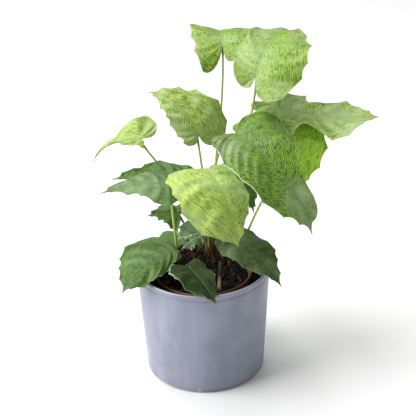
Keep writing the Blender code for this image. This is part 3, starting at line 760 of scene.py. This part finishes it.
def blade_surface(plan, fine, columns):
    """The blade's middle surface: vertices, triangles, and four marks at each triangle's corners:

    the place among the side veins, the way along them, the way left to the margin and the way out
    from the midrib, all three in mm.
    """
    frames = midrib_frames(plan)
    grids = [flat_half(plan, side, fine, columns) for side in plan.halves]
    spine = shared_midrib(plan, grids)
    verts = []
    faces = []
    marks = []
    known = {}

    def vertex(flat, spot_there):
        key = (round(float(flat[0]) * 1e6), round(float(flat[1]) * 1e6))
        if key not in known:
            known[key] = len(verts)
            verts.append(spot_there)
        return known[key]

    for (t, s, path), side, sign in zip(grids, plan.halves, (1.0, -1.0)):
        spots = bend_half(plan, side, sign, frames, t, s, path)
        reach = (path[:, -1] - path[:, 0]) / MM
        size = np.maximum(np.linalg.norm(reach, axis=1), 1e-6)
        start = path[:, 0, 0] / MM * reach[:, 0] / size
        count = vein_places(plan, t, sign)
        rows = [[(vertex((path[i, j, 0], sign * path[i, j, 1]), spots[i, j]),
                  (count[i], start[i] + s[j] * size[i], (1 - s[j]) * size[i], s[j] * size[i]))
                 for j in range(len(s))] for i in range(len(t))]
        for low, high, near, far in zip(rows, rows[1:], path[:, 0, 0], path[1:, 0, 0]):
            chain = [low[0]]
            for x in spine[(spine > near) & (spine < far)]:
                share = (x - near) / (far - near)
                mark = (1 - share) * np.array(low[0][1]) + share * np.array(high[0][1])
                chain.append((vertex((x, 0.0), at_station(frames, x, "point")), tuple(mark)))
            chain += high[:2]
            tris = [(low[1], a, b) for a, b in zip(chain, chain[1:])]
            for j in range(1, len(s) - 1):
                tris += [(low[j], high[j], high[j + 1]), (low[j], high[j + 1], low[j + 1])]
            for tri in tris:
                face, face_marks = zip(*(tri if sign > 0 else tri[::-1]))
                if len(set(face)) == 3:
                    faces.append(face)
                    marks.append(face_marks)
    return np.array(verts), faces, marks


def blade_mesh(plan, fine, columns):
    """A closed thin sheet with its marks as two UV maps. The underside's veins have their own count."""
    verts, faces, marks = blade_surface(plan, fine, columns)
    normals = np.zeros_like(verts)
    for a, b, c in faces:
        normals[[a, b, c]] += np.cross(verts[b] - verts[a], verts[c] - verts[a])
    normals /= np.linalg.norm(normals, axis=1)[:, None]
    count = len(verts)
    both = np.vstack([verts + normals * blade_thickness / 2, verts - normals * blade_thickness / 2])
    edges = {}
    for face, mark in zip(faces, marks):
        for k in range(3):
            edges[(face[k], face[(k + 1) % 3])] = (mark[k], mark[(k + 1) % 3])
    shell = [list(face) for face in faces]
    corners = list(marks)
    for face, three in zip(faces, marks):
        shell.append([k + count for k in face[::-1]])
        corners.append([(mark[0] + underside_start, *mark[1:]) for mark in three[::-1]])
    for (a, b), (mark_a, mark_b) in edges.items():
        if (b, a) not in edges:
            shell.append([b, a, a + count, b + count])
            corners.append([mark_b, mark_a, mark_a, mark_b])
    mesh = bpy.data.meshes.new(plan.name)
    mesh.from_pydata([tuple(v) for v in both], [], shell)
    vein_map = mesh.uv_layers.new(name="veins")
    margin_map = mesh.uv_layers.new(name="margin")
    for k, mark in enumerate(mark for four in corners for mark in four):
        vein_map.data[k].uv = mark[:2]
        margin_map.data[k].uv = mark[2:]
    mesh.shade_smooth()
    mesh.set_sharp_from_angle(angle=math.radians(55))
    return mesh


def stalk_line(plan, steps):
    """The petiole's centre line, from its foot in the soil through the joint to under the midrib."""
    frames = midrib_frames(plan)
    x, y = plan.foot
    start = np.array([x, y, soil_height(x, y) - hole_depth + fit_gap])
    rise = np.array([x, y, soil_height(x, y) + 3 * MM])
    tangent = at_station(frames, 0.0, "tangent")
    neck = plan.base - at_station(frames, 0.0, "up") * 1.5 * MM - tangent * 1.0 * MM
    reach = np.linalg.norm(neck - rise)
    lean = np.array([*plan.lean, 1.0])
    come_in = np.array([0, 0, 1.0]) + plan.join * tangent
    come_in /= np.linalg.norm(come_in)
    stem = bezier(rise, rise + lean * reach * 0.35, neck - come_in * reach * 0.35, neck, steps)
    under = np.array([0.02, 0.06, 0.12, 0.2, 0.3, 0.42, 0.56, 0.7, 0.84])
    drop = (0.95 - 0.7 * np.maximum(0, under - 0.3))[:, None] * MM
    along = plan.length * under
    rib = at_station(frames, along, "point") - at_station(frames, along, "up") * drop
    run = run_along(stem)
    slim = petiole_foot_radius + (petiole_top_radius - petiole_foot_radius) * run / run[-1]
    swell = np.clip(1 - (run[-1] - run) / joint_length, 0, 1) ** 0.5
    stem_radius = slim + (joint_radius - petiole_top_radius) * swell
    rib_size = rib_radius * (1 - 0.75 * under)
    radius = np.concatenate([[petiole_foot_radius], stem_radius, rib_size])
    return np.vstack([start, stem, rib]), radius, run[-1]


def stalk_mesh(plan, sides=10, steps=28):
    """A closed tube along the stalk's line. Its UV map gives the turn, and mm below the blade."""
    path, radius, whole = stalk_line(plan, steps)
    run = run_along(path)
    below = (run[1] + whole - run) / MM
    bm = bmesh.new()
    veins = bm.loops.layers.uv.new("veins")
    margin = bm.loops.layers.uv.new("margin")
    ring_side = Vector(path[1] - path[0]).normalized().orthogonal().normalized()
    rings = []
    for k, (place, size) in enumerate(zip(path, radius)):
        before = Vector(path[max(k - 1, 0)])
        after = Vector(path[min(k + 1, len(path) - 1)])
        direction = (after - before).normalized()
        ring_side = (ring_side - direction * ring_side.dot(direction)).normalized()
        ring_up = direction.cross(ring_side)
        ring = []
        for n in range(sides):
            turn = 2 * math.pi * n / sides
            offset = ring_side * math.cos(turn) + ring_up * math.sin(turn)
            ring.append(bm.verts.new(Vector(place) + offset * float(size)))
        rings.append(ring)
    for k, (low, high) in enumerate(zip(rings, rings[1:])):
        for n in range(sides):
            after = (n + 1) % sides
            face = bm.faces.new((low[n], low[after], high[after], high[n]))
            face.smooth = True
            face.material_index = 1
            for loop, turn, level in zip(face.loops, (n, n + 1, n + 1, n), (k, k, k + 1, k + 1)):
                loop[veins].uv = (turn / sides, below[level])
                loop[margin].uv = (5.0, 5.0)
    for cap in (rings[0][::-1], rings[-1]):
        bm.faces.new(cap).material_index = 1
    mesh = bpy.data.meshes.new(plan.name + "_stalk")
    bm.to_mesh(mesh)
    bm.free()
    return mesh


def uv_marks(here, name):
    """The two marks that one of the piece's own UV maps holds."""
    return split(add_node(here.tree, "UVMap", "UV", {}, uv_map=name))[:2]


def there_and_back(amount):
    """Goes from 0 to 1 and back each time the amount grows by 1."""
    return amount.work_out("PINGPONG", 0.5) * 2.0


def patterned_blade(name, dark, bright, edge, painted_sheen_share, lines):
    """A blade's finish: dark green crossed by fine bright bars between the side veins.

    The painted sheen share is how much painted sheen lies over it: a pale grey that stands in for the
    lamps' gloss on the pleats' crests. Lines is how plainly its midrib and edge show.
    """
    finish, here = new_finish(name, {
        "Roughness": 0.4, "Specular IOR Level": 0.35, "Sheen Weight": 0.06, "Sheen Roughness": 0.4,
        "Sheen Tint": (0.9, 1.0, 0.85)})
    tree = here.tree
    place, along = uv_marks(here, "veins")
    way_left, way_out = uv_marks(here, "margin")
    patches = cloudy(here, 60, 4, 0.6)
    wobble = cloudy(here, 230, 3, 0.6) - 0.5

    row = (place + wobble * 0.7).work_out("FLOOR")
    row_luck = add_node(tree, "TexWhiteNoise", "Value", {"W": row}, noise_dimensions="1D")
    phase = along / bar_gap + row_luck * 7.3 + wobble * 2.2
    cell = add_node(tree, "CombineXYZ", 0, {"X": row, "Y": phase.work_out("FLOOR")})
    bar_luck = add_node(tree, "TexWhiteNoise", "Value", {"Vector": cell}, noise_dimensions="2D")
    bar = there_and_back(phase).fade(0.32, 0.58) * bar_luck.fade(0.0, 0.8, 0.25, 1.0)
    threads = add_node(tree, "CombineXYZ", 0, {"X": place * 0.75, "Y": along * 0.95, "Z": wobble * 1.5})
    thread = cloudy(threads, 1.0, 2, 0.6).fade(0.38, 0.6)
    bar = (bar * 0.65 + thread * 0.35).fade(0.2, 0.68) * patches.fade(0.35, 0.6, 0.78, 1.0)

    third = there_and_back(place / 3.0)
    crest = third.fade(0.25, 0.85)
    # Painted sheen: pale grey laid on the pleats' crests, and stronger at listed spots, in place of the
    # lamps' gloss.
    painted_sheen_layer = cloudy(stretched(here, (1.0, 1.3, 0.8)), 27, 4).fade(0.4, 0.66)
    painted_sheen_layer = painted_sheen_layer * crest.fade(0.0, 1.0, 0.45, 1.0) * painted_sheen_share
    broken = cloudy(here, 75, 4, 0.6).fade(0.36, 0.62, 0.45, 1.2) * crest.fade(0.0, 1.0, 0.75, 1.1)
    for *shine, strength in painted_sheen_spots:
        painted_sheen_layer = painted_sheen_layer.work_out("MAXIMUM", spot(here, *shine) * strength * broken)
    strip = way_left.fade(0.5, 2.2, 0.75, 0.0)
    curled = [(spot(here, *margin) * strip, (0.44, 0.6, 0.4)) for margin in pale_margins]
    colour = lay_colours(
        dark,
        (bar, bright),
        (painted_sheen_layer, (0.42, 0.52, 0.31)),
        (way_out.fade(0.9, 2.4, 0.35, 0.0), dark),
        (way_out.fade(0.3, 0.85, lines, 0.0), edge),
        (way_left.fade(0.1, 0.8, lines, 0.0), edge),
        *curled,
        (place.fade(underside_start - 50, underside_start - 49, 0.0, 0.3), (0.3, 0.42, 0.14)))
    relief = third.fade(0.0, 0.25) * 0.5 + bar * 0.5
    return dress(finish, colour, patches.fade(0.3, 0.7, 0.36, 0.5), relief, 0.25 * MM, 0.8)


def stalk_finish(name, green, foot_tint_and_painted_light, joint_tint):
    """A stalk's finish: streaked along its length, tinted towards its foot, with painted shade there on
    most stalks and a painted highlight on one, and dark at its joint.
    """
    finish, here = new_finish(name, {"Roughness": 0.42})
    below = uv_marks(here, "veins")[1]
    streaks = cloudy(stretched(here, (1, 1, 0.06)), 1500)
    colour = lay_colours(
        green,
        (streaks.fade(0.35, 0.7, 0.0, 0.6), (0.5, 0.52, 0.16)),
        # Towards the foot: painted shade on most stalks, and a painted highlight on the bright one.
        (split(here)[2].fade(128 * MM, 158 * MM, 0.95, 0.0), foot_tint_and_painted_light),
        (below.fade(0.5, 2.0) * below.fade(9.0, 14.0, 0.85, 0.0), joint_tint))
    return dress(finish, colour, streaks.fade(0.3, 0.7, 0.36, 0.5), streaks, 0.12 * MM)


# Each blade's dark green, its bars, its midrib and edge, its painted sheen and how plain its lines are.
# Besides the leaves' own greens, the tones are lit and shaded copies of one finish. The darker ones,
# for leaves low in the clump, hold painted shade. The lighter ones, for leaves lit from above, hold
# painted light, and the vivid one brightens the hanging leaf as painted light shining through it.
blade_tones = {
    "fresh": ((0.07, 0.185, 0.006), (0.36, 0.49, 0.055), (0.38, 0.48, 0.18), 0.45, 0.5),
    "soft": ((0.11, 0.25, 0.016), (0.51, 0.63, 0.13), (0.44, 0.55, 0.22), 0.6, 0.5),
    "vivid": ((0.14, 0.35, 0.008), (0.51, 0.73, 0.05), (0.4, 0.56, 0.12), 0.15, 0.5),
    "sheen_lit": ((0.12, 0.25, 0.035), (0.53, 0.68, 0.15), (0.46, 0.58, 0.3), 0.7, 0.5),
    "mature": ((0.022, 0.1, 0.003), (0.26, 0.44, 0.03), (0.3, 0.4, 0.19), 0.12, 0.6),
    "dim": ((0.015, 0.072, 0.006), (0.12, 0.24, 0.022), (0.18, 0.27, 0.12), 0.2, 0.4),
    "dusky": ((0.02, 0.055, 0.011), (0.085, 0.155, 0.03), (0.17, 0.25, 0.12), 0.25, 0.5),
    "shaded": ((0.007, 0.023, 0.003), (0.042, 0.085, 0.01), (0.15, 0.23, 0.08), 0.03, 0.6),
    "pale": ((0.2, 0.36, 0.045), (0.63, 0.75, 0.17), (0.36, 0.48, 0.2), 0.5, 0.5),
    "young": ((0.05, 0.11, 0.04), (0.16, 0.26, 0.11), (0.42, 0.55, 0.32), 0.4, 0.8)}
# Each stalk's green, the tint of its foot and that of its joint. The olive foot is near-black
# painted shade among the clump's feet, and the bright foot is a painted highlight. The others are
# the stalks' own reddish-brown.
stalk_tones = {
    "olive": ((0.24, 0.29, 0.06), (0.03, 0.017, 0.011), (0.1, 0.09, 0.025)),
    "bright": ((0.24, 0.29, 0.06), (0.46, 0.52, 0.08), (0.1, 0.09, 0.025)),
    "lime": ((0.36, 0.49, 0.06), (0.2, 0.1, 0.04), (0.16, 0.18, 0.03)),
    "brown": ((0.17, 0.15, 0.05), (0.16, 0.055, 0.03), (0.09, 0.06, 0.02))}
blade_finishes = {tone: patterned_blade(tone + "_leaf", *greens) for tone, greens in blade_tones.items()}
stalk_finishes = {tone: stalk_finish(tone + "_stalk", *greens) for tone, greens in stalk_tones.items()}


def grow_leaf(plan):
    blade = bpy.data.objects.new(plan.name + "_blade", blade_mesh(plan, fine=5, columns=16))
    stalk = bpy.data.objects.new(plan.name + "_stalk", stalk_mesh(plan))
    for part in (blade, stalk):
        part.data.materials.append(blade_finishes[plan.tone])
        part.data.materials.append(stalk_finishes[plan.stalk])
    join_pieces([blade, stalk])
    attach(blade, "root")
    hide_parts(plan.name)


# The tall leaves, then those at middle height, then the low ones over the rim.
leaves = [
    leaf("leaf_top_left", (26, 73, 336), 92, 18, 82, 96, 30,
         half(33, fold=24, curl=-12, lobe=1.1, square=-0.5, teeth=(0.24, 0.36, 0.48, 0.6, 0.72, 0.86)),
         half(36, fold=4, lobe=0.8, square=0.8),
         (8, 39), roll=-12, twist=14, lobe_droop=62, scallop=3.5, tone="fresh"),
    leaf("leaf_top_right", (58, 22, 320), 62, 50, 84, 104, 26,
         half(31, fold=15, curl=-12, lobe=0.6, broadest=0.3, fullness=0.7, square=0.4,
              teeth=(0.48, 0.7, 0.86), bays=(2.2, 1.2, 0.7, 0.4)),
         half(49, fold=10, curl=-35, lobe=0.95, broadest=0.25, fullness=0.38, square=0.3),
         (20, 35), roll=-4, lobe_droop=25, lean=(0.0, 0.4), join=0.3, scallop=4.5, wave=3,
         tone="fresh"),
    leaf("leaf_mid_left", (-2, 0, 268), 150, 66, 68, 70, 22,
         half(21, lobe=0.5), half(41, lobe=0.7, broadest=0.1, fullness=0.38), (7, 30), roll=-28,
         scallop=4, tone="soft", stalk="bright"),
    leaf("leaf_far_left", (-62, 42, 246), 188, 2, 95, 60, 17,
         half(17, fold=18, lobe=0.3, broadest=-0.05, fullness=0.05),
         half(38, curl=-10, broadest=-0.15, fullness=0.0), (-3, 41), roll=-20, twist=50, arch_power=2.2,
         lean=(0.3, 0.2), tone="soft"),
    leaf("leaf_centre_right", (36, -30, 280), -42, -11, 60, 128, 34,
         half(57, fold=14, lobe=0.45, broadest=0.0, fullness=0.27,
              teeth=(0.23, 0.38, 0.52, 0.79, 0.94), bays=(0.5, 0.8, 0.8, 2.4, -1.8, 0.5)),
         half(51, lobe=0.2, curl=-12, broadest=0.35, fullness=0.6, square=-0.3), (15, 27), join=1.0,
         lean=(0.1, 0.35), scallop=4, tone="mature"),
    leaf("leaf_right_long", (82, 42, 277), -3, -24, -28, 104, 28,
         half(31, fold=26, curl=-10, lobe=0.6, broadest=0.5, teeth=(0.46, 0.74, 0.84, 0.92),
              bays=(6, 8, 0.8, 1, 0.8)),
         half(50, curl=-34, fullness=0.7, teeth=(0.25, 0.46, 0.66, 0.76, 0.86, 0.94),
              bays=(0.5, 0.6, 9, 1, 1, 1, 0.8)),
         (34, 26), arch_power=0.6, lobe_droop=60, lean=(0.3, 0.0), tone="sheen_lit", stalk="brown"),
    leaf("leaf_right_hanging", (93, 16, 259), -88, -30, 50, 64, 22,
         half(36, square=0.8, teeth=(0.27, 0.42, 0.58, 0.74, 0.86)), half(30), (38, 18),
         lean=(0.15, 0.0), scallop=3.5, tone="vivid", stalk="lime"),
    leaf("leaf_behind_right", (70, 66, 268), 20, 10, 40, 44, 12,
         half(24), half(22, lobe=0.6), (27, 31), tone="mature"),
    leaf("leaf_front_pale", (8, -25, 238), -64, -8, 68, 87, 24,
         half(29, fullness=0.6, lobe=0.8, square=1),
         half(50, lobe=1.1, broadest=0.3, fullness=0.8, square=0.6), (12, 19), roll=-4,
         lobe_droop=65, tone="pale"),
    leaf("leaf_west_front", (-33, -13, 221), 182, 5, 24, 69, 14,
         half(36, broadest=-0.05, fullness=0.25), half(22), (-24, 14), roll=-8, lobe_droop=50, join=0.1,
         lean=(-0.1, -0.6), stalk="lime"),
    leaf("leaf_west_back", (-20, 14, 215), 178, 9, 22, 72, 14,
         half(13, lobe=0.5), half(22), (-9, 27), roll=-20),
    leaf("leaf_under_left", (-24, 22, 168), 184, 12, 24, 34, 8,
         half(22, lobe=0.5, broadest=0.0, fullness=0.25), half(15, lobe=0.5, teeth=4), (-9, 34),
         roll=-30),
    leaf("leaf_behind_centre", (36, 17, 224), -66, -20, 42, 56, 14,
         half(17, lobe=0.3), half(20, lobe=0.5), (21, 18)),
    leaf("leaf_low_left", (-29, -5, 141), 222, 2, 38, 77, 10,
         half(19, fold=-5, lobe=0.2, broadest=0.55), half(50, lobe=0.4, broadest=0.1, fullness=0.65),
         (-16, 6)),
    leaf("leaf_low_back", (-24, 28, 136), 185, -2, 25, 42, 10,
         half(18, teeth=5), half(22, teeth=5), (-17, 21)),
    leaf("leaf_low_front", (-13, -37, 136), -58, -5, 34, 52, 14,
         half(17, fold=12, curl=-12, fullness=0.6, square=1),
         half(26, fold=12, curl=-12, fullness=0.6, square=1), (-3, 12), tone="shaded"),
    leaf("leaf_low_right", (34, 2, 149), -52, 0, 42, 79, 20,
         half(26), half(30, lobe=0.5), (28, 13), tone="dusky"),
    leaf("leaf_low_rear", (14, 56, 132), 98, 8, 52, 72, 10,
         half(30), half(28), (14, 40)),
    leaf("leaf_small_grey", (-1, -14, 164), 192, 2, 20, 25, 5,
         half(6, teeth=3), half(17, fold=35, curl=-10, broadest=0.6, fullness=0.7, teeth=4),
         (1, 5), tone="young"),
    leaf("leaf_young_folded", (0, 5, 153), 206, -15, 20, 27, 4,
         half(10, fold=-25, curl=-25, broadest=0.5, fullness=0.6),
         half(6, fold=35, teeth=4), (-8, 17), scallop=4, tone="young"),
]
for plan in leaves:
    grow_leaf(plan)


# The sheaths: the papery, reddish-brown bases that once wrapped each stalk, now dry and split,
# standing round the clump's feet.
def dry_sheath():
    finish, here = new_finish("dry_sheath", {"Roughness": 0.7})
    fibres = cloudy(stretched(here, (1, 1, 0.1)), 1500, 4, 0.65)
    stains = cloudy(here, 160)
    colour = lay_colours(
        (0.09, 0.03, 0.019),
        (fibres.fade(0.35, 0.7), (0.36, 0.16, 0.1)),
        (stains.fade(0.45, 0.65, 0.0, 0.7), (0.055, 0.025, 0.018)))
    return dress(finish, colour, fibres.fade(0.3, 0.7, 0.8, 0.6), fibres, 0.25 * MM)


bpy.ops.object.select_all(action="DESELECT")
bpy.ops.mesh.primitive_circle_add(vertices=16, radius=1, fill_type="NOTHING")
sheath = bpy.context.object
bpy.ops.object.mode_set(mode="EDIT")
select_only(sheath, lambda place: place.y > 0.5)
bpy.ops.mesh.delete(type="VERT")
bpy.ops.mesh.select_all(action="SELECT")
for level, narrow in enumerate((0.98, 0.95, 0.92, 0.88, 0.8, 0.68, 0.45)):
    extrude((0, 0.02 * level, 1.0))
    bpy.ops.transform.resize(value=(narrow, 1, 1), center_override=(0, -0.8, 0))
bpy.ops.object.mode_set(mode="OBJECT")
wall = sheath.modifiers.new("wall", "SOLIDIFY")
wall.thickness = 0.16
bpy.ops.object.modifier_apply(modifier="wall")
rng = np.random.default_rng(12)
sheath_places = []
for plan in leaves:
    x, y = plan.foot
    for turn in rng.uniform(0, any_turn, 2):
        size = rng.uniform(1.7, 2.1) * MM
        tall = rng.uniform(1.0, 2.1) * MM
        turns = (rng.uniform(0.0, 0.16), rng.uniform(-0.08, 0.08), turn)
        sheath_places.append(stand_on_soil(x, y, -1.5 * MM, turns, (size, size, tall)))
sheaths = scatter("dry_sheaths", sheath, sheath_places, dry_sheath())
bpy.ops.object.shade_smooth_by_angle(angle=math.radians(50))
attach(sheaths, "root")


# The floor and the lights: one pale seamless floor and large soft lamps, the strongest from the
# upper left, with white all round.
bpy.ops.mesh.primitive_plane_add(size=12, location=(0, 2, 0))
floor = bpy.context.object
floor.name = "floor"
floor.data.materials.append(new_finish("pale_floor", {"Base Color": (0.9, 0.9, 0.9), "Roughness": 0.9})[0])
plant_middle = Vector((0, 0, 180 * MM))


def soft_lamp(name, place, size, power):
    bpy.ops.object.light_add(type="AREA", location=place)
    lamp = bpy.context.object
    lamp.name = name
    lamp.data.size = size
    lamp.data.energy = power
    aim = plant_middle - Vector(place)
    lamp.rotation_euler = aim.to_track_quat("-Z", "Y").to_euler()


soft_lamp("main_lamp", (-1.7, -0.35, 1.2), 1.6, 59)
soft_lamp("top_lamp", (-0.2, 0.7, 2.1), 1.5, 34)
soft_lamp("side_lamp", (1.4, -0.9, 0.9), 1.0, 1.5)
world = bpy.context.scene.world or bpy.data.worlds.new("studio")
bpy.context.scene.world = world
world.use_nodes = True
background = world.node_tree.nodes["Background"]
background.inputs["Color"].default_value = (1, 1, 1, 1)
background.inputs["Strength"].default_value = 0.34
bpy.context.scene.view_settings.view_transform = "Standard"
